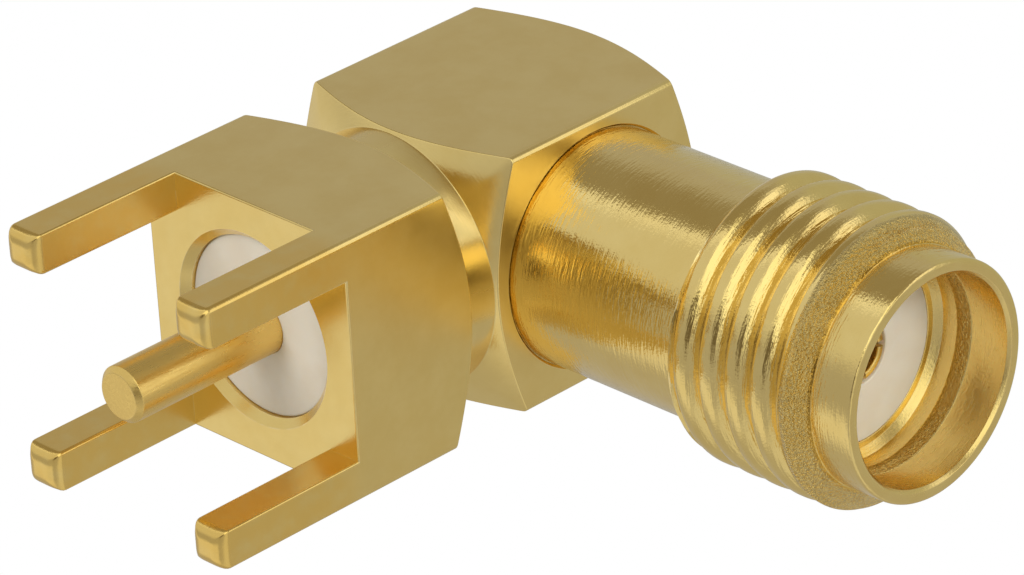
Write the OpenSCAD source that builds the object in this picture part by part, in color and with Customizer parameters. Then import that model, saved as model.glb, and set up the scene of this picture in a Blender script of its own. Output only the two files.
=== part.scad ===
// Right-angle coaxial jack for a printed circuit board.
// One square bar forms the body: four legs and a flat board seat at one end,
// a turned neck, and a head that carries the threaded barrel.
// Origin: on the solder pin's axis, in the plane of the board seat.
// +Z points away from the board, +X along the barrel towards the mating plug.
// All sizes are in millimetres.

/* [Body] */
// Width of the square bar across its flats
bar_w = 6; // [5.7:0.05:8]
// Radius on the long edges of the bar
bar_edge_r = 0.12; // [0.05:0.01:0.3]
// Height of the leg block above the board seat
block_h = 3.48; // [2.5:0.02:6]
// Length of the turned neck between block and head
neck_len = 0.72; // [0.3:0.02:2]
// Depth of the neck below the flats of the bar
neck_inset = 0.07; // [0.03:0.01:0.4]
// Length of the head along the bar
head_h = 6.12; // [5.7:0.02:9]
// Margin left flat-topped at the far end, from its rim to the bar's flats
end_inset = 0.05; // [0.02:0.01:0.4]
// Angle of the cones turned on the bar's corners, from the end faces
corner_cone_a = 28; // [15:1:40]
// Chamfer round the hole in the board seat
seat_ch = 0.18; // [0.05:0.01:0.3]

/* [Legs] */
// Width of each square leg
leg_w = 0.92; // [0.82:0.02:1.2]
// Length of the legs below the board seat
leg_len = 3.95; // [2:0.05:6]
// Radius round the tip of each leg
leg_tip_r = 0.38; // [0.05:0.01:0.4]
// Radius on the inner long edges of each leg
leg_edge_r = 0.08; // [0.03:0.01:0.2]

/* [Barrel] */
// Distance from the solder pin's axis to the mouth of the barrel
reach = 12.43; // [11.4:0.01:15]
// Diameter of the mating bore
mate_d = 4.6; // [4.5:0.01:4.8]
// Depth of the mating bore to the face of the insulator
mate_depth = 1.95; // [1.7:0.01:2.2]
// Chamfer inside the mouth of the mating bore
mouth_ch = 0.07; // [0.02:0.01:0.12]
// Length and height of the cone at the bottom of the mating bore
floor_ch = 0.15; // [0.05:0.01:0.2]
// Width of the flat metal ring round the insulator's face
floor_ring = 0.15; // [0.05:0.01:0.25]
// Wall of the smooth pilot at the mouth
pilot_wall = 0.32; // [0.2:0.01:0.4]
// Length of the smooth pilot
pilot_len = 1.01; // [0.6:0.01:1.6]
// Major diameter of the coupling thread
thread_d = 6.32; // [6:0.01:6.35]
// Length of the thread at its full diameter
thread_len = 3.23; // [2:0.01:4]
// Axial length of the flank at each end of the thread
thread_flank = 0.28; // [0.1:0.02:0.4]
// Wall of the plain part of the barrel at the insulator's shoulder
barrel_wall = 0.4; // [0.2:0.01:0.45]

/* [Insulators] */
// Step of the front insulator's shoulder, which keeps it in the barrel
shoulder_step = 0.25; // [0.1:0.01:0.3]
// Length of the shoulder of the front insulator
shoulder_len = 2.6; // [1.5:0.1:4]
// Diameter of the tail insulator and of its hole in the board seat
tail_d = 4.12; // [3.4:0.02:4.2]
// Depth of the tail insulator's face behind the board seat
tail_recess = 0.25; // [0.1:0.01:0.6]
// Thickness of the tail insulator's lip below the solder pin's shoulder
tail_lip = 0.15; // [0.1:0.01:0.5]

/* [Contacts] */
// Diameter of the hole in the socket contact
socket_d = 0.94; // [0.9:0.01:0.98]
// Depth of the hole in the socket contact
socket_depth = 2.9; // [2.6:0.1:4]
// Wall of the socket contact
socket_wall = 0.165; // [0.12:0.005:0.2]
// Number of slots that let the socket spring
slot_count = 4; // [2:2:4]
// Width of each slot
slot_cut_w = 0.13; // [0.1:0.01:0.15]
// Length of each slot
slot_cut_len = 2.2; // [1.5:0.1:2.5]
// Diameter of the contact's soldered tail
wire_d = 0.7; // [0.5:0.02:0.8]
// Diameter of the solder pin outside the body
pin_d = 1.27; // [1.1:0.01:1.4]
// Step of the solder pin's shoulder inside the tail insulator
pin_step = 0.165; // [0.16:0.005:0.3]
// Length of the solder pin below the board seat
pin_len = 3.74; // [2:0.02:6]
// Rise of the solder pin above the barrel's axis
pin_rise = 0.8; // [0.6:0.05:1.2]
// Chamfer on the tips of the solder pin
tip_ch = 0.12; // [0.05:0.01:0.2]

/* [Inside] */
// Diameter of the cavity round the soldered joint
cavity_d = 2.8; // [2.4:0.1:3]
// Ledge in the bar that the cap rests on
cap_ledge = 0.25; // [0.15:0.01:0.35]
// Thickness of the cap that closes the soldering hole
cap_t = 0.85; // [0.5:0.05:1.2]
// Depth of the cap below the end of the bar
cap_recess = 0.05; // [0.02:0.01:0.3]
// Wall left between the bores inside the bar
inner_wall = 0.2; // [0.1:0.01:0.3]

/* [Fits] */
// Radial gap of pressed parts, 0 for size on size
press_gap = 0; // [0:0.005:0.02]
// Radial gap of the soldered tail in the pin
solder_gap = 0.03; // [0.01:0.01:0.06]
// Radial gap round the springing end of the socket contact
spring_gap = 0.06; // [0.04:0.01:0.1]

/* [Hidden] */
$fn = 96;
gold = [0.80, 0.66, 0.33];
ptfe = [0.90, 0.87, 0.82];
// How far cutting tools run past the faces they cut
cut = 1;
// Small break on turned edges
rim = 0.05;

neck_r = bar_w / 2 - neck_inset;
end_r = bar_w / 2 - end_inset;
corner_r = bar_w / sqrt(2) + cut;
cone_slope = tan(corner_cone_a);
top_z = block_h + neck_len + head_h;
axis_z = block_h + neck_len + head_h / 2;

mate_r = mate_d / 2;
front_r = mate_r - floor_ch - floor_ring;
shoulder_r = front_r + shoulder_step;
barrel_r = shoulder_r + barrel_wall;
pilot_r = mate_r + pilot_wall;
thread_r = thread_d / 2;

socket_r = socket_d / 2;
contact_r = socket_r + socket_wall;
pin_r = pin_d / 2;
core_r = pin_r + pin_step;
cross_hole_r = wire_d / 2 + solder_gap;

cavity_r = cavity_d / 2;
cap_r = cavity_r + cap_ledge;
cap_seat_z = top_z - cap_t - cap_recess;

floor_x = cap_r + inner_wall;
shoulder_x = floor_x + shoulder_len;
face_x = reach - mate_depth;
thread_x1 = reach - pilot_len - thread_flank;
thread_x0 = thread_x1 - thread_len;
slot_x = face_x - slot_cut_len;
tail_top = axis_z - barrel_r - inner_wall;
pin_shoulder_z = tail_recess + tail_lip;

// Lays a turned part, drawn upright on Z = 0, along the barrel's axis
module on_barrel_axis() {
    translate([0, 0, axis_z])
        rotate([0, 90, 0])
            children();
}

// A centred square with true arcs at its corners
module rounded_square(w, r) {
    square([w - 2 * r, w], center = true);
    square([w, w - 2 * r], center = true);
    for (sx = [-1, 1], sy = [-1, 1])
        translate([sx * (w / 2 - r), sy * (w / 2 - r)])
            circle(r);
}

// Side view of one leg, hanging from the X axis, round at its lower corners
module leg_side() {
    tip_w = leg_w - 2 * leg_tip_r;
    translate([-tip_w / 2, -leg_len])
        square([tip_w, leg_len + cut]);
    translate([-leg_w / 2, -leg_len + leg_tip_r])
        square([leg_w, leg_len - leg_tip_r + cut]);
    for (s = [-1, 1])
        translate([s * tip_w / 2, -leg_len + leg_tip_r])
            circle(leg_tip_r);
}

// One leg, rounded along its edges and on all four sides of its tip
module leg() {
    intersection() {
        translate([0, 0, -leg_len])
            linear_extrude(leg_len + cut)
                rounded_square(leg_w, leg_edge_r);
        rotate([90, 0, 0])
            linear_extrude(leg_w, center = true)
                leg_side();
        rotate([90, 0, 90])
            linear_extrude(leg_w, center = true)
                leg_side();
    }
}

// The four legs, left at the bar's corners when its end is slotted both ways
module legs() {
    leg_at = (bar_w - leg_w) / 2;
    intersection() {
        translate([0, 0, -leg_len])
            linear_extrude(leg_len + cut)
                rounded_square(bar_w, bar_edge_r);
        for (sx = [-1, 1], sy = [-1, 1])
            translate([sx * leg_at, sy * leg_at, 0])
                leg();
    }
}

// Half section of the bar as the lathe leaves it, above the board seat
module turned_section() {
    neck_drop = (corner_r - neck_r) * cone_slope;
    end_drop = (corner_r - end_r) * cone_slope;
    polygon([
        [0, 0],
        [corner_r, 0],
        [corner_r, block_h - neck_drop],
        [neck_r, block_h],
        [neck_r, block_h + neck_len],
        [corner_r, block_h + neck_len + neck_drop],
        [corner_r, top_z - end_drop],
        [end_r, top_z],
        [0, top_z]
    ]);
}

// The square bar with its neck and the cones on its corners
module turned_bar() {
    intersection() {
        linear_extrude(top_z)
            rounded_square(bar_w, bar_edge_r);
        rotate_extrude()
            turned_section();
    }
}

// What is bored along the bar: insulator seat, cavity and cap seat
module bar_bores() {
    tail_r = tail_d / 2;
    rotate_extrude()
        polygon([
            [0, -cut],
            [tail_r + seat_ch + cut, -cut],
            [tail_r, seat_ch],
            [tail_r, tail_top],
            [cavity_r, tail_top],
            [cavity_r, cap_seat_z],
            [cap_r, cap_seat_z],
            [cap_r, top_z + cut],
            [0, top_z + cut]
        ]);
}

// What is bored across the head: barrel seat and the way in to the cavity
module head_bores() {
    mouth_x = bar_w / 2;
    on_barrel_axis()
        rotate_extrude()
            polygon([
                [0, 0],
                [cavity_r, 0],
                [cavity_r, floor_x],
                [barrel_r, floor_x],
                [barrel_r, mouth_x - rim],
                [barrel_r + rim + cut, mouth_x + cut],
                [0, mouth_x + cut]
            ]);
}

// Body: legs, block, neck and head in one piece
module elbow_body() {
    color(gold)
        difference() {
            union() {
                turned_bar();
                legs();
            }
            bar_bores();
            head_bores();
        }
}

// Barrel: pressed spigot, plain part, thread at its major diameter, pilot
module threaded_barrel() {
    spigot_r = barrel_r - press_gap;
    color(gold)
        on_barrel_axis()
            rotate_extrude()
                polygon([
                    [shoulder_r + press_gap, floor_x],
                    [spigot_r - rim, floor_x],
                    [spigot_r, floor_x + rim],
                    [spigot_r, thread_x0 - thread_flank],
                    [thread_r, thread_x0],
                    [thread_r, thread_x1],
                    [pilot_r, thread_x1 + thread_flank],
                    [pilot_r, reach - rim],
                    [pilot_r - rim, reach],
                    [mate_r + mouth_ch, reach],
                    [mate_r, reach - mouth_ch],
                    [mate_r, face_x + floor_ch],
                    [mate_r - floor_ch, face_x],
                    [front_r + press_gap, face_x],
                    [front_r + press_gap, shoulder_x],
                    [shoulder_r + press_gap, shoulder_x]
                ]);
}

// Front insulator, held between the barrel's step and the floor of its seat
module front_insulator() {
    color(ptfe)
        on_barrel_axis()
            rotate_extrude()
                polygon([
                    [contact_r, floor_x],
                    [shoulder_r, floor_x],
                    [shoulder_r, shoulder_x],
                    [front_r, shoulder_x],
                    [front_r, face_x],
                    [contact_r + spring_gap, face_x],
                    [contact_r + spring_gap, slot_x],
                    [contact_r, slot_x]
                ]);
}

// Tail insulator, whose lip stops the solder pin's shoulder
module tail_insulator() {
    tail_r = tail_d / 2 - press_gap;
    color(ptfe)
        rotate_extrude()
            polygon([
                [pin_r, tail_recess],
                [tail_r, tail_recess],
                [tail_r, tail_top],
                [core_r, tail_top],
                [core_r, pin_shoulder_z + pin_step],
                [pin_r, pin_shoulder_z]
            ]);
}

// Socket contact: slotted at its mouth, with a thin tail for the solder joint
module socket_contact() {
    back_x = core_r + tip_ch;
    color(gold)
        on_barrel_axis()
            difference() {
                rotate_extrude()
                    polygon([
                        [0, -back_x],
                        [wire_d / 2, -back_x],
                        [wire_d / 2, back_x],
                        [contact_r - rim, back_x],
                        [contact_r, back_x + rim],
                        [contact_r, face_x - rim],
                        [contact_r - rim, face_x],
                        [socket_r + rim, face_x],
                        [socket_r, face_x - rim],
                        [socket_r, face_x - socket_depth],
                        [0, face_x - socket_depth - socket_r]
                    ]);
                for (i = [0 : slot_count / 2 - 1])
                    rotate(i * 360 / slot_count)
                        translate([-contact_r - cut, -slot_cut_w / 2, slot_x])
                            cube([2 * (contact_r + cut), slot_cut_w, slot_cut_len + cut]);
            }
}

// Solder pin: thicker inside the body, cross-drilled for the contact's tail
module solder_pin() {
    pin_top = axis_z + pin_rise;
    color(gold)
        difference() {
            rotate_extrude()
                polygon([
                    [0, -pin_len],
                    [pin_r - tip_ch, -pin_len],
                    [pin_r, -pin_len + tip_ch],
                    [pin_r, pin_shoulder_z],
                    [core_r, pin_shoulder_z + pin_step],
                    [core_r, pin_top - tip_ch],
                    [core_r - tip_ch, pin_top],
                    [0, pin_top]
                ]);
            on_barrel_axis()
                cylinder(r = cross_hole_r, h = 2 * (core_r + cut), center = true);
        }
}

// Cap pressed into the soldering hole at the far end of the bar
module end_cap() {
    rim_r = cap_r - press_gap;
    color(gold)
        translate([0, 0, cap_seat_z])
            rotate_extrude()
                polygon([
                    [0, 0],
                    [rim_r - rim, 0],
                    [rim_r, rim],
                    [rim_r, cap_t - rim],
                    [rim_r - rim, cap_t],
                    [0, cap_t]
                ]);
}

elbow_body();
threaded_barrel();
front_insulator();
tail_insulator();
socket_contact();
solder_pin();
end_cap();
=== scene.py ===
"""Looks of a right-angle coaxial board jack: gold plated metal round PTFE insulators.

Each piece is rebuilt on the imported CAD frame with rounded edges, turning marks and a cut thread.
Lengths are in millimetres until a mesh is written. The barrel points along +X, the legs along -Z.
"""
import math

import bmesh
import bpy
from mathutils import Matrix, Vector

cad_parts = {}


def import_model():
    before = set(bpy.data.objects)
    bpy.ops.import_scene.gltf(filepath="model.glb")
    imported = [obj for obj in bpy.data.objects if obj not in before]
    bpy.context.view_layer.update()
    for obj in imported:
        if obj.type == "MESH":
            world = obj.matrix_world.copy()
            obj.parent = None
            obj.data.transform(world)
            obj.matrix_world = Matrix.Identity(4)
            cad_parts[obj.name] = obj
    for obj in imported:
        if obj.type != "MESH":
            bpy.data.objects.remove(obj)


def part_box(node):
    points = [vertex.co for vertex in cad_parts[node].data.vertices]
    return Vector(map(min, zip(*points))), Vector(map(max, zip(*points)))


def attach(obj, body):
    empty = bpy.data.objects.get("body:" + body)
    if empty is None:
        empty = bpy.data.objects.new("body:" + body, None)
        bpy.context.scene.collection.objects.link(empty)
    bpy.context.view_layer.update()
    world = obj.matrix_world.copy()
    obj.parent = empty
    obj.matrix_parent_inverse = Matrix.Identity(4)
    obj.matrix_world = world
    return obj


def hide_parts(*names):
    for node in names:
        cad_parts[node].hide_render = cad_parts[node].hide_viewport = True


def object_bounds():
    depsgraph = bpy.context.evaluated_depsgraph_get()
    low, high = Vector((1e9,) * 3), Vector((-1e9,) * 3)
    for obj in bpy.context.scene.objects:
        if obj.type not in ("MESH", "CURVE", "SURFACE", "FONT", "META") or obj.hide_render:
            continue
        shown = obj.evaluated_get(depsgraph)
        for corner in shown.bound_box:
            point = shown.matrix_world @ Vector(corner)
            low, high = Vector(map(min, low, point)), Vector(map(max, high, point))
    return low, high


MM = 0.001
# Points nearer than this are the same point, in millimetres
SAME = 1e-4
# Anything smaller than this is nothing
TINY = 1e-6

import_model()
cad_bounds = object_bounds()


def box_mm(node):
    """Lowest and highest corner of a CAD node, in millimetres."""
    low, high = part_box(node)
    return low / MM, high / MM


# ---- sizes read off the frame ----
BODY_LOW, BODY_HIGH = box_mm("elbow_body")
BARREL_LOW, BARREL_HIGH = box_mm("threaded_barrel")
_, FRONT_HIGH = box_mm("front_insulator")
TAIL_LOW, TAIL_HIGH = box_mm("tail_insulator")
CONTACT_LOW, CONTACT_HIGH = box_mm("socket_contact")
PIN_LOW, PIN_HIGH = box_mm("solder_pin")
CAP_LOW, CAP_HIGH = box_mm("end_cap")

HALF_BAR = BODY_HIGH.x
TOP_Z = BODY_HIGH.z
LEG_TIP_Z = BODY_LOW.z
AXIS_Z = (BARREL_LOW.z + BARREL_HIGH.z) / 2
MOUTH_X = BARREL_HIGH.x
SPIGOT_X = BARREL_LOW.x
THREAD_R = BARREL_HIGH.y
FACE_X = FRONT_HIGH.x
SHOULDER_R = FRONT_HIGH.y
TAIL_R = TAIL_HIGH.y
CONTACT_R = CONTACT_HIGH.y
CORE_R = PIN_HIGH.y
CAP_R = CAP_HIGH.y

# ---- body ----
BAR_EDGE_R = 0.12
BLOCK_H = 3.48
HEAD_Z = 4.2
NECK_R = 2.93
END_R = 2.95
CONE_SLOPE = math.tan(math.radians(28))
CONE_EDGE_R = 0.05
TOP_RIM_W = 0.2
SEAT_CHAMFER = 0.18
CAVITY_R = 1.4
# Height at which the milled lower part and the turned upper part of the mesh meet
SEAM_Z = 1.2
# The fine groove round the barrel where it enters the head
GROOVE_GAP = 0.02
GROOVE_DEPTH = 0.12

# ---- broken edges ----
BREAK = 0.05
FACE_BREAK = 0.04
FINE_BREAK = 0.03
FLOOR_BREAK = 0.02
RIM_BREAK = 0.07

# ---- legs ----
LEG_W = 0.92
LEG_TIP_R = 0.3
LEG_EDGE_R = 0.08
SLOT_EDGE_R = 0.05

# ---- barrel ----
BARREL_R = 2.65
PILOT_R = 2.62
MATE_R = 2.3
MOUTH_CHAMFER = 0.07
FLOOR_CHAMFER = 0.15
FRONT_R = 2.0
SHOULDER_X = 4.45
THREAD_FROM_X = 7.63
THREAD_TO_X = 11.42
THREAD_FLANK = 0.28
THREAD_PITCH = 25.4 / 36
THREAD_ROOT_R = 2.88
CREST_FLAT = 0.36
CREST_ROUNDING = 0.25
ROOT_ROUNDING = 0.04
RUN_OUT_ROUNDING = 0.04
THREAD_START = 0.35

# ---- contacts ----
SOCKET_R = 0.47
SOCKET_DEPTH = 2.9
SPRING_GAP = 0.06
SLOT_W = 0.13
SLOT_LEN = 2.2
SLOT_COUNT = 4
WIRE_R = 0.35
PIN_R = 0.635
PIN_SHOULDER_Z = 0.4
PIN_STEP = 0.165
TIP_CHAMFER = 0.12

# ---- how finely the meshes are cut ----
AROUND = 240
AROUND_CONTACT = 96
AROUND_FINGER = 24
AROUND_PIN = 120
AROUND_FLOOR = 96
PER_FLAT = 44
PER_CORNER = 6
PER_ROUNDING = 4
PER_FOOT = 8
PER_LEG_FLAT = 12
PER_PITCH = 22
# Row of a body column at which the head's wall ends: the first point and four arcs lie below it
HEAD_WALL = 1 + 4 * (PER_ROUNDING + 1)
# A corner flatter than this needs no arc, and an arc takes at most this share of a side
NEARLY_STRAIGHT = math.radians(88)
LARGEST_SHARE = 0.45
# Faces that meet at more than this look sharp
SHARP_ANGLE = math.radians(36)


# ---- outlines ----

def arc_at(before, corner, after, radius):
    """Points of the arc that rounds one corner of an outline, no longer than its sides allow."""
    corner = Vector(corner)
    back, on = Vector(before) - corner, Vector(after) - corner
    half = back.angle(on) / 2
    if radius <= 0 or half > NEARLY_STRAIGHT:
        return [tuple(corner)]
    run = min(radius / math.tan(half), LARGEST_SHARE * back.length, LARGEST_SHARE * on.length)
    radius = run * math.tan(half)
    back.normalize()
    on.normalize()
    centre = corner + (back + on).normalized() * (radius / math.sin(half))
    start = corner + back * run - centre
    end = corner + on * run - centre
    turn = start.angle_signed(end)
    points = []
    for i in range(PER_ROUNDING + 1):
        spoke = start.copy()
        spoke.rotate(Matrix.Rotation(-turn * i / PER_ROUNDING, 2))
        points.append(tuple(centre + spoke))
    return points


def rounded(outline):
    """The plain points of an outline of (along, radius, rounding) corners, with arcs as asked."""
    drawn = []
    for i, (along, radius, rounding) in enumerate(outline):
        before, after = outline[i - 1][:2], outline[(i + 1) % len(outline)][:2]
        drawn += arc_at(before, (along, radius), after, rounding)
    return drawn


# ---- meshes ----

def along_x(along, radius, angle):
    """A point of a piece turned about the barrel's axis."""
    return along, radius * math.cos(angle), AXIS_Z + radius * math.sin(angle)


def along_z(along, radius, angle):
    """A point of a piece turned about the bar's axis."""
    return radius * math.cos(angle), radius * math.sin(angle), along


def quad(mesh, corners):
    """Adds a face, unless its corners fall together to less than a triangle."""
    apart = []
    for corner in corners:
        if corner not in apart:
            apart.append(corner)
    if len(apart) > 2 and not mesh.faces.get(apart):
        mesh.faces.new(apart)


def ring_at(mesh, place, along, radius, angles):
    """One vertex for each angle, or a single shared one on the axis."""
    if radius < TINY:
        return [mesh.verts.new(place(along, 0, 0))] * len(angles)
    return [mesh.verts.new(place(along, radius, angle)) for angle in angles]


def turned(mesh, place, points, first=0.0, last=2 * math.pi, closed=True, steps=AROUND):
    """Turns points of (along, radius) about an axis. A part turn gets flat ends."""
    whole = last - first > 2 * math.pi - TINY
    count = steps if whole else steps + 1
    angles = [first + (last - first) * i / steps for i in range(count)]
    rings = [ring_at(mesh, place, along, radius, angles) for along, radius in points]
    pairs = list(zip(rings, rings[1:]))
    if closed:
        pairs.append((rings[-1], rings[0]))
    for one, two in pairs:
        for i in range(steps):
            j = (i + 1) % count
            quad(mesh, [one[i], one[j], two[j], two[i]])
    if not whole:
        for i in (0, -1):
            mesh.faces.new([ring[i] for ring in rings])
    return rings


def finished(name, mesh, material, node):
    """Writes a mesh as a smooth piece that stands for its CAD node."""
    bmesh.ops.remove_doubles(mesh, verts=mesh.verts, dist=SAME)
    bmesh.ops.recalc_face_normals(mesh, faces=mesh.faces)
    bmesh.ops.scale(mesh, vec=(MM, MM, MM), verts=mesh.verts)
    data = bpy.data.meshes.new(name)
    mesh.to_mesh(data)
    mesh.free()
    data.shade_smooth()
    data.set_sharp_from_angle(angle=SHARP_ANGLE)
    data.materials.append(material)
    piece = bpy.data.objects.new(name, data)
    bpy.context.scene.collection.objects.link(piece)
    normals = piece.modifiers.new("flat_faces_stay_flat", "WEIGHTED_NORMAL")
    normals.weight = 100
    normals.keep_sharp = True
    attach(piece, "root")
    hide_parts(node)
    return piece


# ---- body ----

def bar_outline():
    """The square bar's section, one flat and one corner arc at a time, from the +X flat on."""
    straight = HALF_BAR - BAR_EDGE_R
    points = []
    for side in range(4):
        turn = Matrix.Rotation(side * math.pi / 2, 2)
        for i in range(PER_FLAT):
            across = straight * (2 * i / PER_FLAT - 1)
            points.append(turn @ Vector((HALF_BAR, across)))
        for i in range(PER_CORNER):
            angle = math.pi / 2 * i / PER_CORNER
            arc = Vector((math.cos(angle), math.sin(angle))) * BAR_EDGE_R
            points.append(turn @ (Vector((straight, straight)) + arc))
    return points


def column_outline(reach):
    """Side view of the bar at one place of its section, as (height, radius) with roundings."""
    block_cone = (reach - NECK_R) * CONE_SLOPE
    end_cone = (reach - END_R) * CONE_SLOPE
    corners = [
        (SEAM_Z, reach, 0),
        (BLOCK_H - block_cone, reach, CONE_EDGE_R),
        (BLOCK_H, NECK_R, CONE_EDGE_R / 2),
        (HEAD_Z, NECK_R, CONE_EDGE_R / 2),
        (HEAD_Z + block_cone, reach, CONE_EDGE_R),
        (TOP_Z - end_cone, reach, CONE_EDGE_R),
        (TOP_Z, END_R, CONE_EDGE_R),
        (TOP_Z, END_R - TOP_RIM_W, 0),
    ]
    points = []
    for i, (height, radius, rounding) in enumerate(corners):
        ends = i in (0, len(corners) - 1)
        if ends:
            points.append((height, radius))
        else:
            points += arc_at(corners[i - 1][:2], (height, radius), corners[i + 1][:2], rounding)
    return points


def upper_body(mesh):
    """Block, neck and head above the seam, as columns that stand on the bar's outline."""
    columns = []
    for place in bar_outline():
        reach = place.length
        column = []
        for height, radius in column_outline(reach):
            spot = place * (radius / reach)
            column.append(mesh.verts.new((spot.x, spot.y, height)))
        columns.append(column)
    for i, column in enumerate(columns):
        following = columns[(i + 1) % len(columns)]
        for row in range(len(column) - 1):
            if i < PER_FLAT and row == HEAD_WALL - 1:
                continue
            quad(mesh, [column[row], following[row], following[row + 1], column[row + 1]])
    return columns


def fill_with_hole(mesh, rim, hole):
    """Fills the flat surface between an outer loop of vertices and a round hole."""
    edges = []
    for loop in (rim, hole):
        for one, two in zip(loop, loop[1:] + loop[:1]):
            edges.append(mesh.edges.get((one, two)) or mesh.edges.new((one, two)))
    bmesh.ops.triangle_fill(mesh, use_beauty=True, edges=edges)


def barrel_seat(mesh, columns):
    """The head's +X flat, with the chamfered hole that takes the barrel."""
    flat = columns[:PER_FLAT + 1]
    rim = [column[HEAD_WALL - 1] for column in flat]
    rim += [column[HEAD_WALL] for column in reversed(flat)]
    groove_r = BARREL_R + GROOVE_GAP
    points = [
        (HALF_BAR, groove_r + BREAK),
        (HALF_BAR - BREAK, groove_r),
        (HALF_BAR - GROOVE_DEPTH, groove_r),
        (HALF_BAR - GROOVE_DEPTH, BARREL_R),
        (SPIGOT_X, BARREL_R),
        (SPIGOT_X, 0),
    ]
    rings = turned(mesh, along_x, points, closed=False)
    fill_with_hole(mesh, rim, rings[0])


def panel(mesh, side, corners):
    """A face from (across, out, height) corners on one of the bar's four sides."""
    turn = Matrix.Rotation(side * math.pi / 2, 3, "Z")
    places = [turn @ Vector((out, across, height)) for across, out, height in corners]
    mesh.faces.new([mesh.verts.new(place) for place in places])


def lower_sharp(mesh):
    """The seat and the four legs down to their feet with sharp edges, open at the seam."""
    out, inner = HALF_BAR, HALF_BAR - LEG_W
    foot = LEG_TIP_Z + LEG_TIP_R
    straight = HALF_BAR - BAR_EDGE_R
    border = [straight * (2 * i / PER_FLAT - 1) for i in range(PER_FLAT + 1)]
    seam = [(across, out, SEAM_Z) for across in [-out] + border + [out]]
    seat = []
    for side in range(4):
        panel(mesh, side, seam + [
            (out, out, foot), (inner, out, foot), (inner, out, 0),
            (-inner, out, 0), (-inner, out, foot), (-out, out, foot),
        ])
        for across in (-inner, inner):
            panel(mesh, side, [
                (across, out, 0), (across, inner, 0), (across, inner, foot), (across, out, foot),
            ])
        panel(mesh, side, [
            (inner, inner, foot), (out, inner, foot), (out, out, foot), (inner, out, foot),
        ])
        turn = Matrix.Rotation(side * math.pi / 2, 3, "Z")
        for x, y in ((out, -inner), (out, inner), (inner, inner)):
            seat.append(turn @ Vector((x, y, 0)))
    mesh.faces.new([mesh.verts.new(corner) for corner in seat])
    bmesh.ops.remove_doubles(mesh, verts=mesh.verts, dist=SAME)
    bmesh.ops.recalc_face_normals(mesh, faces=mesh.faces)


def edge_rounding(edge):
    """Radius of one edge of the sharp lower body, 0 where it stays as it is."""
    one, two = edge.verts[0].co, edge.verts[1].co
    middle = (one + two) / 2
    nearer, farther = sorted((abs(middle.x), abs(middle.y)))
    outside = farther > HALF_BAR - SAME
    if abs(one.z - two.z) > SAME:
        if nearer > HALF_BAR - SAME:
            return BAR_EDGE_R
        return SLOT_EDGE_R if outside else LEG_EDGE_R
    return SLOT_EDGE_R if outside and abs(middle.z) < SAME else 0


def bevelled(mesh):
    """The same solid with each edge rounded to its own radius."""
    weight = mesh.edges.layers.float.new("bevel_weight_edge")
    for edge in mesh.edges:
        edge[weight] = edge_rounding(edge) / BAR_EDGE_R
    data = bpy.data.meshes.new("sharp")
    mesh.to_mesh(data)
    mesh.free()
    sharp = bpy.data.objects.new("sharp", data)
    bpy.context.scene.collection.objects.link(sharp)
    rounding = sharp.modifiers.new("rounding", "BEVEL")
    rounding.limit_method = "WEIGHT"
    rounding.width = BAR_EDGE_R
    rounding.segments = PER_CORNER
    rounding.use_clamp_overlap = False
    shape = sharp.evaluated_get(bpy.context.evaluated_depsgraph_get()).to_mesh()
    result = bmesh.new()
    result.from_mesh(shape)
    bpy.data.objects.remove(sharp)
    bpy.data.meshes.remove(data)
    return result


def split_evenly(edge, count):
    """Cuts an edge into equal parts."""
    corner = edge.verts[0]
    for left in range(count, 1, -1):
        corner = bmesh.utils.edge_split(edge, corner, 1 / left)[1]


def foot_ring(mesh, outline, middle, angle):
    """The leg's outline at one angle of its dome, drawn in and more round towards the tip."""
    core = LEG_W / 2 - LEG_TIP_R
    roundness = math.sin(angle) ** 2
    height = LEG_TIP_Z + LEG_TIP_R * (1 - math.sin(angle))
    ring = []
    for place in outline:
        away = Vector((place.x, place.y)) - middle
        kept = Vector([max(-core, min(core, value)) for value in away])
        over = away - kept
        trimmed = over.normalized() * min(over.length, LEG_TIP_R)
        spot = middle + kept + over.lerp(trimmed, roundness) * math.cos(angle)
        ring.append(mesh.verts.new((spot.x, spot.y, height)))
    return ring


def domed_feet(mesh):
    """Draws the flat end of each leg in to a dome."""
    foot_z = LEG_TIP_Z + LEG_TIP_R
    feet = [face for face in mesh.faces if face.calc_center_median().z < foot_z + SAME]
    for face in feet:
        for edge in list(face.edges):
            if edge.calc_length() > LEG_W / 2:
                split_evenly(edge, PER_LEG_FLAT)
        above = list(face.verts)
        outline = [vert.co.copy() for vert in above]
        centre = face.calc_center_bounds()
        reach = HALF_BAR - LEG_W / 2
        middle = Vector((math.copysign(reach, centre.x), math.copysign(reach, centre.y)))
        mesh.faces.remove(face)
        for step in range(1, PER_FOOT + 1):
            ring = foot_ring(mesh, outline, middle, math.pi / 2 * step / PER_FOOT)
            for i in range(len(ring)):
                j = (i + 1) % len(ring)
                quad(mesh, [above[i], above[j], ring[j], ring[i]])
            above = ring
        mesh.faces.new(above)


def bar_bore(mesh):
    """Tail insulator's seat, soldering cavity and cap seat, as one turned surface."""
    points = [
        (0, TAIL_R + SEAT_CHAMFER),
        (SEAT_CHAMFER, TAIL_R),
        (TAIL_HIGH.z, TAIL_R),
        (TAIL_HIGH.z, CAVITY_R),
        (CAP_LOW.z, CAVITY_R),
        (CAP_LOW.z, CAP_R),
        (TOP_Z - BREAK, CAP_R),
        (TOP_Z, CAP_R + BREAK),
    ]
    return turned(mesh, along_z, points, closed=False)


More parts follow.
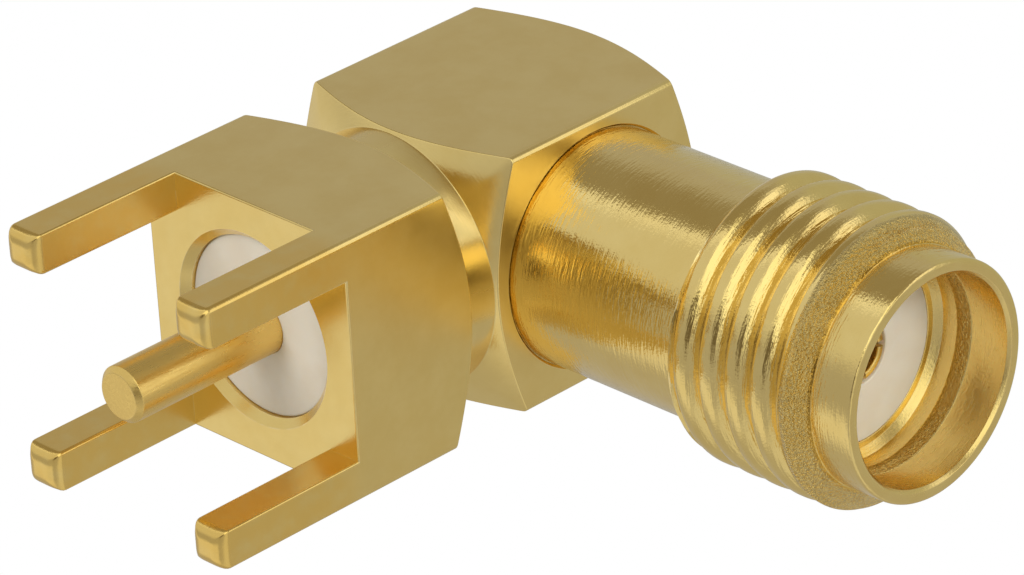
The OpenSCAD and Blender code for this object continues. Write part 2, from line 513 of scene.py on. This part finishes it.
def elbow_body(material):
    """Legs, block, neck and head, in one piece."""
    sharp = bmesh.new()
    lower_sharp(sharp)
    mesh = bevelled(sharp)
    domed_feet(mesh)
    columns = upper_body(mesh)
    barrel_seat(mesh, columns)
    bore = bar_bore(mesh)
    top_rim = [column[-1] for column in columns]
    level = [face for face in mesh.faces if abs(face.calc_center_median().z) < SAME]
    seat = max(level, key=lambda face: face.calc_area())
    seat_rim = list(seat.verts)
    mesh.faces.remove(seat)
    fill_with_hole(mesh, seat_rim, bore[0])
    fill_with_hole(mesh, top_rim, bore[-1])
    return finished("elbow_body_skin", mesh, material, "elbow_body")


# ---- barrel ----

def blended_min(one, two, width):
    """The lower of two values, with the corner between them rounded over a width."""
    share = max(0.0, min(1.0, 0.5 + 0.5 * (two - one) / width))
    return two + (one - two) * share - width * share * (1 - share)


def thread_radius(turns):
    """Radius of the 60 degree thread at a place given in pitches, with round crests and roots."""
    from_crest = abs(turns % 1 - 0.5) * THREAD_PITCH
    flank = THREAD_R + (CREST_FLAT / 2 - from_crest) * math.tan(math.radians(60))
    crest = blended_min(THREAD_R, flank, CREST_ROUNDING)
    return -blended_min(-THREAD_ROOT_R, -crest, ROOT_ROUNDING)


def run_out_radius(x):
    """The cones that end the thread towards the plain barrel and the pilot."""
    rear = BARREL_R + (x - THREAD_FROM_X) / THREAD_FLANK * (THREAD_R - BARREL_R)
    front = PILOT_R + (THREAD_TO_X - x) / THREAD_FLANK * (THREAD_R - PILOT_R)
    return min(rear, front)


def thread_spot(row, column):
    """A point of the thread on a grid whose rows run along the helix."""
    turns = row / PER_PITCH + column / AROUND
    x = max(THREAD_FROM_X, min(THREAD_TO_X, THREAD_FROM_X + turns * THREAD_PITCH))
    cut = thread_radius(row / PER_PITCH + THREAD_START)
    radius = blended_min(cut, run_out_radius(x), RUN_OUT_ROUNDING)
    return along_x(x, radius, 2 * math.pi * column / AROUND)


def coupling_thread(mesh):
    """The right-handed thread, from the plain barrel to the pilot."""
    rows = math.ceil((THREAD_TO_X - THREAD_FROM_X) / THREAD_PITCH * PER_PITCH)
    grid = []
    for row in range(-PER_PITCH, rows + 1):
        grid.append([mesh.verts.new(thread_spot(row, c)) for c in range(AROUND + 1)])
    for one, two in zip(grid, grid[1:]):
        for c in range(AROUND):
            corners = [one[c], one[c + 1], two[c + 1], two[c]]
            xs = [corner.co.x for corner in corners]
            if max(xs) - min(xs) > TINY:
                quad(mesh, corners)


def threaded_barrel(material):
    """Spigot, plain barrel, thread, pilot, mating bore and insulator seat."""
    floor = FACE_X + FLOOR_CHAMFER
    outline = [
        (THREAD_TO_X, PILOT_R, 0),
        (MOUTH_X, PILOT_R, RIM_BREAK),
        (MOUTH_X, MATE_R + MOUTH_CHAMFER, FINE_BREAK),
        (MOUTH_X - MOUTH_CHAMFER, MATE_R, FINE_BREAK),
        (floor, MATE_R, 0),
        (FACE_X, MATE_R - FLOOR_CHAMFER, FLOOR_BREAK),
        (FACE_X, FRONT_R, FINE_BREAK),
        (SHOULDER_X, FRONT_R, 0),
        (SHOULDER_X, SHOULDER_R, 0),
        (SPIGOT_X, SHOULDER_R, 0),
        (SPIGOT_X, BARREL_R, BREAK),
        (THREAD_FROM_X, BARREL_R, 0),
    ]
    mesh = bmesh.new()
    turned(mesh, along_x, rounded(outline), closed=False)
    coupling_thread(mesh)
    return finished("threaded_barrel_skin", mesh, material, "threaded_barrel")


# ---- insulators ----

def front_insulator(material):
    """Stepped PTFE bead that holds the socket contact in the barrel."""
    spring_r = CONTACT_R + SPRING_GAP
    slot_x = FACE_X - SLOT_LEN
    outline = [
        (SPIGOT_X, CONTACT_R, 0),
        (SPIGOT_X, SHOULDER_R, FINE_BREAK),
        (SHOULDER_X, SHOULDER_R, FINE_BREAK),
        (SHOULDER_X, FRONT_R, 0),
        (FACE_X, FRONT_R, FACE_BREAK),
        (FACE_X, spring_r, FACE_BREAK),
        (slot_x, spring_r, 0),
        (slot_x, CONTACT_R, 0),
    ]
    mesh = bmesh.new()
    turned(mesh, along_x, rounded(outline))
    return finished("front_insulator_skin", mesh, material, "front_insulator")


def tail_insulator(material):
    """PTFE bead round the solder pin, behind the board seat."""
    outline = [
        (TAIL_LOW.z, PIN_R, FINE_BREAK),
        (TAIL_LOW.z, TAIL_R, BREAK),
        (TAIL_HIGH.z, TAIL_R, BREAK),
        (TAIL_HIGH.z, CORE_R, 0),
        (PIN_SHOULDER_Z + PIN_STEP, CORE_R, 0),
        (PIN_SHOULDER_Z, PIN_R, 0),
    ]
    mesh = bmesh.new()
    turned(mesh, along_z, rounded(outline))
    return finished("tail_insulator_skin", mesh, material, "tail_insulator")


# ---- contacts ----

def socket_contact(material):
    """Contact with its springing fingers, drilled hole and soldered tail."""
    slot_x = FACE_X - SLOT_LEN
    floor = FACE_X - SOCKET_DEPTH
    shank = [
        (CONTACT_LOW.x, 0, 0),
        (CONTACT_LOW.x, WIRE_R, BREAK),
        (-CONTACT_LOW.x, WIRE_R, 0),
        (-CONTACT_LOW.x, CONTACT_R, BREAK),
        (slot_x, CONTACT_R, 0),
        (slot_x, SOCKET_R, 0),
        (floor, SOCKET_R, 0),
        (floor - SOCKET_R, 0, 0),
    ]
    finger = [
        (slot_x, CONTACT_R, 0),
        (FACE_X, CONTACT_R, BREAK),
        (FACE_X, SOCKET_R, BREAK),
        (slot_x, SOCKET_R, 0),
    ]
    mesh = bmesh.new()
    turned(mesh, along_x, rounded(shank), steps=AROUND_CONTACT)
    gap = SLOT_W / (SOCKET_R + CONTACT_R)
    for i in range(SLOT_COUNT):
        first = 2 * math.pi * i / SLOT_COUNT + gap
        last = 2 * math.pi * (i + 1) / SLOT_COUNT - gap
        turned(mesh, along_x, rounded(finger), first, last, steps=AROUND_FINGER)
    return finished("socket_contact_skin", mesh, material, "socket_contact")


def solder_pin(material):
    """Pin from the board up to the soldered joint."""
    outline = [
        (PIN_LOW.z, 0, 0),
        (PIN_LOW.z, PIN_R - TIP_CHAMFER, FINE_BREAK),
        (PIN_LOW.z + TIP_CHAMFER, PIN_R, BREAK),
        (PIN_SHOULDER_Z, PIN_R, 0),
        (PIN_SHOULDER_Z + PIN_STEP, CORE_R, 0),
        (PIN_HIGH.z - TIP_CHAMFER, CORE_R, FINE_BREAK),
        (PIN_HIGH.z, CORE_R - TIP_CHAMFER, FINE_BREAK),
        (PIN_HIGH.z, 0, 0),
    ]
    mesh = bmesh.new()
    turned(mesh, along_z, rounded(outline), steps=AROUND_PIN)
    return finished("solder_pin_skin", mesh, material, "solder_pin")


def end_cap(material):
    """Cap pressed into the soldering hole, with rounded rims."""
    outline = [
        (CAP_LOW.z, 0, 0),
        (CAP_LOW.z, CAP_R, BREAK),
        (CAP_HIGH.z, CAP_R, BREAK),
        (CAP_HIGH.z, 0, 0),
    ]
    mesh = bmesh.new()
    turned(mesh, along_z, rounded(outline))
    return finished("end_cap_skin", mesh, material, "end_cap")


# ---- node trees ----

class Tree:
    """Adds nodes to one shader tree. An input is a socket to link or a value to set."""

    def __init__(self, owner):
        owner.use_nodes = True
        self.tree = owner.node_tree
        self.tree.nodes.clear()

    def add(self, kind, inputs=None, **settings):
        node = self.tree.nodes.new("ShaderNode" + kind)
        for name, value in settings.items():
            setattr(node, name, value)
        for name, value in (inputs or {}).items():
            if isinstance(value, bpy.types.NodeSocket):
                self.tree.links.new(value, node.inputs[name])
            else:
                node.inputs[name].default_value = value
        return node

    def math(self, operation, *values):
        inputs = dict(enumerate(values))
        return self.add("Math", inputs, operation=operation).outputs[0]

    def span(self, value, low, high, to_low=0.0, to_high=1.0):
        """Maps low..high smoothly onto to_low..to_high."""
        inputs = {"Value": value, 1: low, 2: high, 3: to_low, 4: to_high}
        node = self.add("MapRange", inputs, interpolation_type="SMOOTHSTEP")
        return node.outputs["Result"]

    def mix(self, share, one, two):
        node = self.add("Mix", {0: share, 6: one, 7: two}, data_type="RGBA")
        return node.outputs[2]

    def noise(self, place, size, detail=2.0, rough=0.5):
        """Noise whose features are about size millimetres across."""
        inputs = {"Vector": place, "Scale": 1 / (size * MM), "Detail": detail, "Roughness": rough}
        return self.add("TexNoise", inputs).outputs[0]

    def bump(self, height, depth, normal=None):
        """Raises the surface by depth millimetres where height is 1."""
        inputs = {"Height": height, "Distance": depth * MM, "Strength": 1.0}
        if normal:
            inputs["Normal"] = normal
        return self.add("Bump", inputs).outputs[0]


def polar_place(tree, place, axis):
    """Coordinates for turning marks: along the axis, out from it, and slowly round it.

    The distance from the axis comes with them, as a value of its own.
    """
    parts = tree.add("SeparateXYZ", {0: place}).outputs
    if axis == "X":
        along, one, two = parts[0], parts[1], tree.math("SUBTRACT", parts[2], AXIS_Z * MM)
    else:
        along, one, two = parts[2], parts[0], parts[1]
    squares = tree.math("ADD", tree.math("MULTIPLY", one, one), tree.math("MULTIPLY", two, two))
    radius = tree.math("SQRT", squares)
    angle = tree.math("ARCTAN2", two, one)
    slow = tree.math("MULTIPLY", angle, MARK_TURN * MM)
    return tree.add("CombineXYZ", {0: along, 1: radius, 2: slow}).outputs[0], radius


# ---- materials ----

GOLD_PALE = (0.94, 0.72, 0.28, 1)
GOLD_DEEP = (0.90, 0.67, 0.24, 1)
# Deeper amber gold: the contacts' own tone, and painted shade and reflection on the legs and in
# the cone's pits
GOLD_AMBER_TONE_AND_PAINTED_SHADE = (0.92, 0.63, 0.18, 1)
# Paler gold of worn edges, also a highlight painted along the rims
GOLD_WORN_AND_HIGHLIT = (0.96, 0.79, 0.44, 1)
PTFE_PALE = (0.83, 0.77, 0.66, 1)
PTFE_WARM = (0.79, 0.71, 0.58, 1)

# Sizes and depths of surface marks, in millimetres
CLOUD = 1.1
WORN_HIGHLIT_EDGE = 0.05
WORN_HIGHLIT_PATCH = 0.25
MARK_TURN = 0.35
BAR_GRAIN, BAR_GRAIN_DEPTH = 0.045, 0.0013
BAR_MARK, BAR_MARK_DEPTH = 0.035, 0.0016
BAR_SATIN = 0.6
# Patches and heights of the amber painted on the legs as shade and reflection of gold in gold
LEG_PATCH = 0.5
LEG_FROM_Z, LEG_TO_Z = 0.3, -0.8
BARREL_MARK, BARREL_MARK_DEPTH = 0.06, 0.012
CONE_GRAIN, CONE_GRAIN_DEPTH = 0.06, 0.2
# The grain sets in this far behind the cone, is full this far along it, and stops before its end
CONE_FADE, CONE_FULL, CONE_STOP = 0.15, 0.02, 0.05
# The bore's calmer surface reaches this far past its wall, the outer skin's marks this far inwards
BORE_MARGIN, SKIN_MARGIN = 0.1, 0.05
CONTACT_STREAK, CONTACT_STREAK_DEPTH = 0.05, 0.004
CONTACT_GRAIN, CONTACT_GRAIN_DEPTH = 0.04, 0.002
BEAD_CLOUD = 0.9
BEAD_MARK, BEAD_MARK_DEPTH = 0.06, 0.002

# Range of values that most of a noise texture falls in, and narrower parts of it
NOISE_RANGE = (0.3, 0.7)
WORN_HIGHLIT_NOISE = (0.35, 0.7)
LEG_NOISE = (0.25, 0.6)
PIT_SHADE_NOISE = (0.55, 0.4)

# How well a softened normal matches the true one: untouched surface, edge fully worn and painted
# with a highlight
WORN_HIGHLIT_MATCH = (0.995, 0.93)
# How squarely a normal faces X or Y: turned surface, flat of the bar
FLAT_MATCH = (0.985, 0.998)

# Roughness, from the smoothest to the roughest place
BAR_ROUGH = (0.28, 0.33)
BAR_TURNED_SMOOTHER = 0.12
BARREL_ROUGH = (0.08, 0.14)
BORE_ROUGHER = 0.18
CONTACT_ROUGH = (0.26, 0.38)
BEAD_ROUGH = (0.42, 0.55)

# Shares of the deep colour (painted shade and reflection on the legs, the contacts' own tone), of
# the cone's grain on the rest, and of the marks in the bore
LEG_DEEP_LEAST = 0.4
CONTACT_DEEP = 0.7
BARREL_GRAIN_SHARE = 0.02
BORE_MARK_SHARE = 0.2


def edge_wear_and_highlight(tree, place):
    """Share of wear and painted highlight: most on edges that a small bevel would round, broken up
    by noise.
    """
    soft = tree.add("Bevel", {"Radius": WORN_HIGHLIT_EDGE * MM}, samples=4).outputs[0]
    true = tree.add("NewGeometry").outputs["True Normal"]
    match = tree.add("VectorMath", {0: soft, 1: true}, operation="DOT_PRODUCT").outputs["Value"]
    patchy = tree.span(tree.noise(place, WORN_HIGHLIT_PATCH, 2), *WORN_HIGHLIT_NOISE)
    return tree.math("MULTIPLY", tree.span(match, *WORN_HIGHLIT_MATCH), patchy)


def gold_shader(tree, place, roughness, relief, amber_tone_and_painted_shade):
    """Plated gold with cloudy colour, worn edges with a painted highlight, and relief. It is
    deeper in colour where asked: the contacts' own tone, painted shade and reflection on the legs
    and in the cone's pits.
    """
    cloud = tree.noise(place, CLOUD, 4, 0.6)
    colour = tree.mix(tree.span(cloud, *NOISE_RANGE), GOLD_DEEP, GOLD_PALE)
    # Deeper amber where asked: the contacts' own tone, painted shade and reflection on legs and
    # pits
    colour = tree.mix(amber_tone_and_painted_shade, colour, GOLD_AMBER_TONE_AND_PAINTED_SHADE)
    # Paler gold on the edges: wear, and a painted highlight along the rims
    colour = tree.mix(edge_wear_and_highlight(tree, place), colour, GOLD_WORN_AND_HIGHLIT)
    inputs = {
        "Base Color": colour,
        "Metallic": 1.0,
        "Roughness": roughness,
        "Normal": relief,
    }
    shader = tree.add("BsdfPrincipled", inputs)
    tree.add("OutputMaterial", {0: shader.outputs[0]})


def body_gold():
    """Drawn bar with a fine satin grain, turned about the bar's axis on neck, cones and end. Down
    the legs its gold is a deeper amber in patches: painted shade and reflection of gold in gold.
    """
    material = bpy.data.materials.new("plated_bar")
    tree = Tree(material)
    coordinates = tree.add("TexCoord").outputs
    place = coordinates["Object"]
    normal = tree.add("SeparateXYZ", {0: coordinates["Normal"]}).outputs
    across_x = tree.math("ABSOLUTE", normal[0])
    across_y = tree.math("ABSOLUTE", normal[1])
    flat = tree.span(tree.math("MAXIMUM", across_x, across_y), *FLAT_MATCH)
    turned_share = tree.math("SUBTRACT", 1.0, flat)
    grain = tree.noise(place, BAR_GRAIN, 3, 0.7)
    marks = tree.noise(polar_place(tree, place, "Z")[0], BAR_MARK, 3, 0.6)
    relief = tree.bump(grain, BAR_GRAIN_DEPTH)
    relief = tree.bump(tree.math("MULTIPLY", marks, turned_share), BAR_MARK_DEPTH, relief)
    satin = tree.span(tree.noise(place, BAR_SATIN, 3), *NOISE_RANGE, *BAR_ROUGH)
    smoother = tree.math("MULTIPLY", turned_share, BAR_TURNED_SMOOTHER)
    roughness = tree.math("SUBTRACT", satin, smoother)
    height = tree.add("SeparateXYZ", {0: place}).outputs[2]
    # Deeper amber gold down the legs, in patches: painted shade and reflection of gold in gold
    painted_amber_patches = tree.span(tree.noise(place, LEG_PATCH, 3), *LEG_NOISE, LEG_DEEP_LEAST, 1.0)
    low = tree.span(height, LEG_FROM_Z * MM, LEG_TO_Z * MM)
    gold_shader(tree, place, roughness, relief, tree.math("MULTIPLY", low, painted_amber_patches))
    return material


def cone_share(tree, place):
    """1 on the cone at the thread's front end, 0 elsewhere."""
    x = tree.add("SeparateXYZ", {0: place}).outputs[0]
    cone_x = THREAD_TO_X - THREAD_FLANK
    behind = tree.span(x, (cone_x - CONE_FADE) * MM, (cone_x + CONE_FULL) * MM)
    ahead = tree.span(x, (THREAD_TO_X - CONE_STOP) * MM, THREAD_TO_X * MM)
    return tree.math("MULTIPLY", behind, tree.math("SUBTRACT", 1.0, ahead))


def barrel_gold():
    """Turned barrel: fine marks round it, a calmer bore, and a grainy cone ahead of the thread,
    with shade painted into the grain's hollows.
    """
    material = bpy.data.materials.new("plated_barrel")
    tree = Tree(material)
    place = tree.add("TexCoord").outputs["Object"]
    cone = cone_share(tree, place)
    round_axis, radius = polar_place(tree, place, "X")
    bore_r, skin_r = (MATE_R + BORE_MARGIN) * MM, (PILOT_R - SKIN_MARGIN) * MM
    outside = tree.span(radius, bore_r, skin_r, BORE_MARK_SHARE, 1.0)
    inside = tree.math("SUBTRACT", 1.0, outside)
    marks = tree.noise(round_axis, BARREL_MARK, 2, 0.5)
    grain = tree.noise(place, CONE_GRAIN, 2, 0.6)
    grainy = tree.math("ADD", BARREL_GRAIN_SHARE, cone)
    relief = tree.bump(tree.math("MULTIPLY", marks, outside), BARREL_MARK_DEPTH)
    relief = tree.bump(tree.math("MULTIPLY", grain, grainy), CONE_GRAIN_DEPTH, relief)
    shine = tree.span(marks, *NOISE_RANGE, *BARREL_ROUGH)
    roughness = tree.math("ADD", shine, tree.math("MULTIPLY", inside, BORE_ROUGHER))
    # Deeper amber gold in the hollows of the cone's grain: painted shade
    painted_pit_shade = tree.math("MULTIPLY", cone, tree.span(grain, *PIT_SHADE_NOISE))
    gold_shader(tree, place, roughness, relief, painted_pit_shade)
    return material


def contact_gold():
    """Contacts: satin plating, deeper in colour, with lengthwise streaks."""
    material = bpy.data.materials.new("plated_contact")
    tree = Tree(material)
    place = tree.add("TexCoord").outputs["Object"]
    drawn = tree.add("Mapping", {"Vector": place, "Scale": (1, 1, 0.1)}).outputs[0]
    streaks = tree.noise(drawn, CONTACT_STREAK, 3, 0.6)
    grain = tree.noise(place, CONTACT_GRAIN, 2, 0.6)
    relief = tree.bump(grain, CONTACT_GRAIN_DEPTH)
    relief = tree.bump(streaks, CONTACT_STREAK_DEPTH, relief)
    roughness = tree.span(streaks, *NOISE_RANGE, *CONTACT_ROUGH)
    gold_shader(tree, place, roughness, relief, CONTACT_DEEP)
    return material


def ptfe():
    """Waxy white plastic with faint machining marks."""
    material = bpy.data.materials.new("ptfe_bead")
    tree = Tree(material)
    place = tree.add("TexCoord").outputs["Object"]
    cloud = tree.noise(place, BEAD_CLOUD, 3)
    marks = tree.noise(place, BEAD_MARK, 3, 0.6)
    inputs = {
        "Base Color": tree.mix(tree.span(cloud, *NOISE_RANGE), PTFE_WARM, PTFE_PALE),
        "Roughness": tree.span(marks, *NOISE_RANGE, *BEAD_ROUGH),
        "Subsurface Weight": 0.35,
        "Subsurface Radius": (1.0, 0.8, 0.6),
        "Subsurface Scale": 0.3 * MM,
        "Normal": tree.bump(marks, BEAD_MARK_DEPTH),
    }
    shader = tree.add("BsdfPrincipled", inputs)
    tree.add("OutputMaterial", {0: shader.outputs[0]})
    return material


# ---- surroundings ----

# Colours of the studio that the metal mirrors
WALL = (0.44, 0.44, 0.45, 1)
TABLE = (0.46, 0.45, 0.43, 1)
GAP = (0.30, 0.27, 0.21, 1)
DARK = (0.15, 0.13, 0.10, 1)
SHEET = (0.66, 0.66, 0.64, 1)
STRIP = (0.76, 0.75, 0.72, 1)
PANEL = (1.12, 1.12, 1.1, 1)
SOFTBOX = (1.22, 1.24, 1.12, 1)
BAND = (0.97, 0.99, 1.0, 1)
CEILING = (0.46, 0.47, 0.42, 1)

# The studio round the barrel's axis, at angles in degrees from +Y towards +Z
STUDIO_BEHIND = [
    (0, TABLE), (50, TABLE), (75, SHEET), (100, WALL), (138, WALL), (152, GAP), (186, GAP),
    (190, BAND), (201, SHEET), (240, SHEET), (258, WALL), (288, WALL), (300, STRIP), (315, STRIP),
    (330, TABLE),
]
STUDIO_AHEAD = [
    (0, SHEET), (15, SHEET), (35, TABLE), (60, TABLE), (85, SHEET), (96, PANEL), (110, PANEL),
    (122, STRIP), (128, PANEL), (140, PANEL), (151, GAP), (168, GAP), (179, SOFTBOX),
    (250, SOFTBOX), (268, SHEET), (282, WALL), (310, WALL), (335, SHEET),
]

# The way to a dark opening between the panels, how far from it the dark begins and is full
OPENING = Vector((0.60, -0.19, -0.78)).normalized()
OPENING_EDGE = math.radians(25)
OPENING_CORE = math.radians(11)

# Where one part of the studio gives way to the next: a direction's x, its z, and its x again
AHEAD_FROM, AHEAD_TO = 0.28, 0.5
CEILING_FROM, CEILING_TO = 0.66, 0.75
END_FROM, END_TO = 0.88, 1.0
WHITE = (1, 1, 1, 1)

# Name, place from the object's middle, diameter in metres and power in watts
LAMPS = [
    ("low_panel", (-0.05, -0.2, -0.25), 0.2, 0.45),
    ("front_panel", (0.28, -0.2, -0.02), 0.12, 0.4),
    ("overhead", (0.08, -0.1, 0.35), 0.2, 0.6),
]

# The floor's radius and how far it lies under the legs, in millimetres, and where it fades out
FLOOR_R = 90
FLOOR_DROP = 0.02
FLOOR_FADE_FROM, FLOOR_FADE_TO = 0.4, 0.95
FLOOR_CLOUD = 8
FLOOR_GREY = (0.86, 0.86, 0.85, 1)
FLOOR_PALE = (0.90, 0.90, 0.89, 1)


def studio_ring(tree, share, stops):
    """Colours at angles, read at a share of the whole turn."""
    ramp = tree.add("ValToRGB", {0: share})
    elements = ramp.color_ramp.elements
    elements[0].color = stops[0][1]
    elements[1].color = stops[0][1]
    for angle, colour in stops[1:]:
        elements.new(angle / 360).color = colour
    return ramp.outputs[0]


def studio_seen(tree, direction):
    """What the metal mirrors: soft walls, bright panels, a dim ceiling and a dark opening."""
    towards = tree.add("SeparateXYZ", {0: direction}).outputs
    turn = tree.math("ARCTAN2", towards[2], towards[1])
    share = tree.math("FRACT", tree.math("DIVIDE", turn, 2 * math.pi))
    behind = studio_ring(tree, share, STUDIO_BEHIND)
    ahead = studio_ring(tree, share, STUDIO_AHEAD)
    seen = tree.mix(tree.span(towards[0], AHEAD_FROM, AHEAD_TO), behind, ahead)
    seen = tree.mix(tree.span(towards[2], CEILING_FROM, CEILING_TO), seen, CEILING)
    near = tree.add("VectorMath", {0: direction, 1: OPENING}, operation="DOT_PRODUCT")
    dark = tree.span(near.outputs["Value"], math.cos(OPENING_EDGE), math.cos(OPENING_CORE))
    seen = tree.mix(dark, seen, DARK)
    end = tree.span(tree.math("ABSOLUTE", towards[0]), END_FROM, END_TO)
    return tree.mix(end, seen, SHEET)


def world():
    """White to camera and transmission rays. The metal and the beads see a plain studio."""
    studio = bpy.data.worlds.new("studio")
    bpy.context.scene.world = studio
    tree = Tree(studio)
    direction = tree.add("TexCoord").outputs["Generated"]
    seen = studio_seen(tree, direction)
    rays = tree.add("LightPath").outputs
    plain = tree.math("MAXIMUM", rays["Is Camera Ray"], rays["Is Transmission Ray"])
    background = tree.add("Background", {0: tree.mix(plain, seen, WHITE), 1: 1.0})
    tree.add("OutputWorld", {0: background.outputs[0]})


def lamp(name, place, size, power):
    """A soft round lamp aimed at the object. Metal doesn't mirror it."""
    light = bpy.data.lights.new(name, "AREA")
    light.shape = "DISK"
    light.size = size
    light.energy = power
    holder = bpy.data.objects.new(name, light)
    centre = (cad_bounds[0] + cad_bounds[1]) / 2
    holder.location = centre + Vector(place)
    holder.rotation_euler = (-Vector(place)).to_track_quat("-Z", "Y").to_euler()
    holder.visible_glossy = False
    bpy.context.scene.collection.objects.link(holder)


def floor():
    """Pale floor under the legs. It shows from above only and fades out round the object."""
    mesh = bmesh.new()
    bmesh.ops.create_circle(mesh, cap_ends=True, segments=AROUND_FLOOR, radius=FLOOR_R * MM)
    data = bpy.data.meshes.new("floor")
    mesh.to_mesh(data)
    mesh.free()
    piece = bpy.data.objects.new("floor", data)
    piece.location.z = (LEG_TIP_Z - FLOOR_DROP) * MM
    piece.visible_glossy = False
    piece.visible_diffuse = False
    piece.visible_shadow = False
    bpy.context.scene.collection.objects.link(piece)
    data.materials.append(floor_material())


def floor_material():
    """Matt pale surface, clear from below and towards its rim."""
    material = bpy.data.materials.new("pale_floor")
    tree = Tree(material)
    place = tree.add("TexCoord").outputs["Object"]
    away = tree.add("VectorMath", {0: place}, operation="LENGTH").outputs["Value"]
    radius = FLOOR_R * MM
    fade = tree.span(away, FLOOR_FADE_FROM * radius, FLOOR_FADE_TO * radius)
    below = tree.add("NewGeometry").outputs["Backfacing"]
    tint = tree.span(tree.noise(place, FLOOR_CLOUD, 3), *NOISE_RANGE)
    colour = tree.mix(tint, FLOOR_GREY, FLOOR_PALE)
    surface = tree.add("BsdfDiffuse", {0: colour})
    clear = tree.add("BsdfTransparent")
    share = tree.math("MAXIMUM", fade, below)
    both = tree.add("MixShader", {0: share, 1: surface.outputs[0], 2: clear.outputs[0]})
    tree.add("OutputMaterial", {0: both.outputs[0]})
    return material


# ---- camera ----

# Place of the camera, the way it looks and the way up in its picture, in the frame's axes
CAMERA_PLACE = Vector((83.958, -58.607, -72.844))
CAMERA_FORWARD = Vector((-0.64042, 0.46284, 0.61290))
CAMERA_UP = Vector((-0.29455, -0.88501, 0.36055))
LENS = 212.7


def camera():
    """A long lens from below the board and in front of the barrel, as in the photograph."""
    data = bpy.data.cameras.new("camera")
    data.lens = LENS
    data.sensor_width = 36
    data.sensor_fit = "HORIZONTAL"
    data.clip_start = 0.01
    data.clip_end = 10
    holder = bpy.data.objects.new("camera", data)
    forward = CAMERA_FORWARD.normalized()
    right = forward.cross(CAMERA_UP).normalized()
    turn = Matrix((right, right.cross(forward), -forward)).transposed()
    holder.matrix_world = Matrix.Translation(CAMERA_PLACE * MM) @ turn.to_4x4()
    bpy.context.scene.collection.objects.link(holder)
    bpy.context.scene.camera = holder


# ---- the scene ----

def build():
    bar, barrel, contact, bead = body_gold(), barrel_gold(), contact_gold(), ptfe()
    elbow_body(bar)
    threaded_barrel(barrel)
    front_insulator(bead)
    tail_insulator(bead)
    socket_contact(contact)
    solder_pin(contact)
    end_cap(bar)
    world()
    for settings in LAMPS:
        lamp(*settings)
    floor()
    camera()
    bpy.context.scene.view_settings.view_transform = "Standard"


build()
